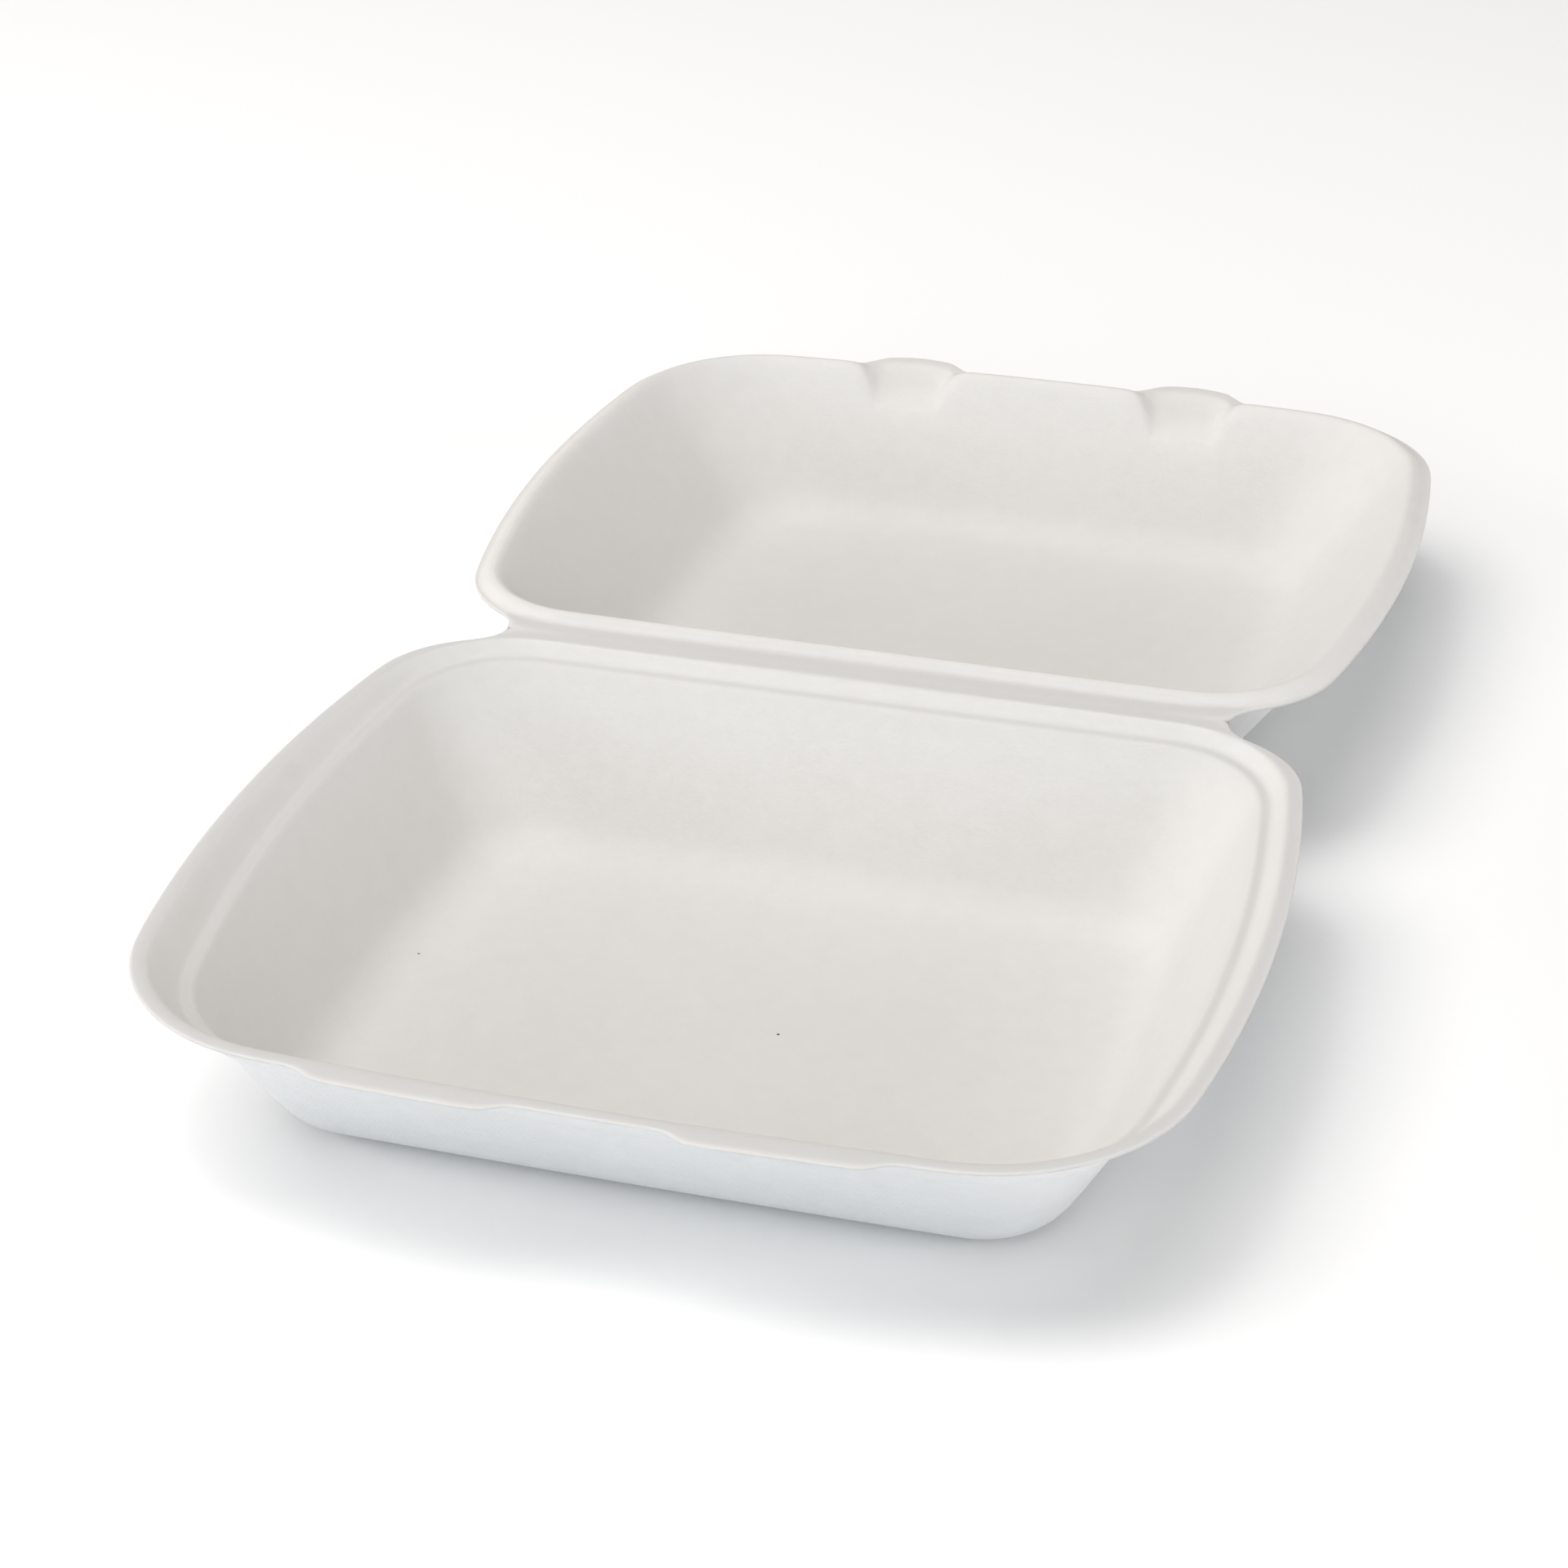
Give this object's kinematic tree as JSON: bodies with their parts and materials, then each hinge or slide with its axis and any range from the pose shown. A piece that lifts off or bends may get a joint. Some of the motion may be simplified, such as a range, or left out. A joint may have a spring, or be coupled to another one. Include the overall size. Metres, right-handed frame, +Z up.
{
  "type": "hinged takeout container",
  "caption": "Open takeout box of pressed plant fibre: a deep tray with a stepped rim and front tabs, hinged along a flat strip to a shallower lid with a rounded crest and finger pockets.",
  "frame": {"origin": "centre of the tray's underside, on the surface it stands on", "axes": "+X along the hinge, to the right as the tray is faced; +Y from the tray's front edge to the hinge and the open lid; +Z up"},
  "size_m": [0.245, 0.41, 0.0442],
  "materials": {
    "moulded_fibre": "matte moulded plant fibre with a fine fibrous grain"
  },
  "bodies": {
    "base": {"base_tray": "moulded_fibre"},
    "cover": {"lid": "moulded_fibre"}
  },
  "joints": [
    {"name": "lid_hinge", "type": "hinge", "parent": "base", "child": "cover", "pos_m": [0, 0.1, 0.0427], "axis": [1, 0, 0], "range_deg": [0, 181.77]}
  ]
}
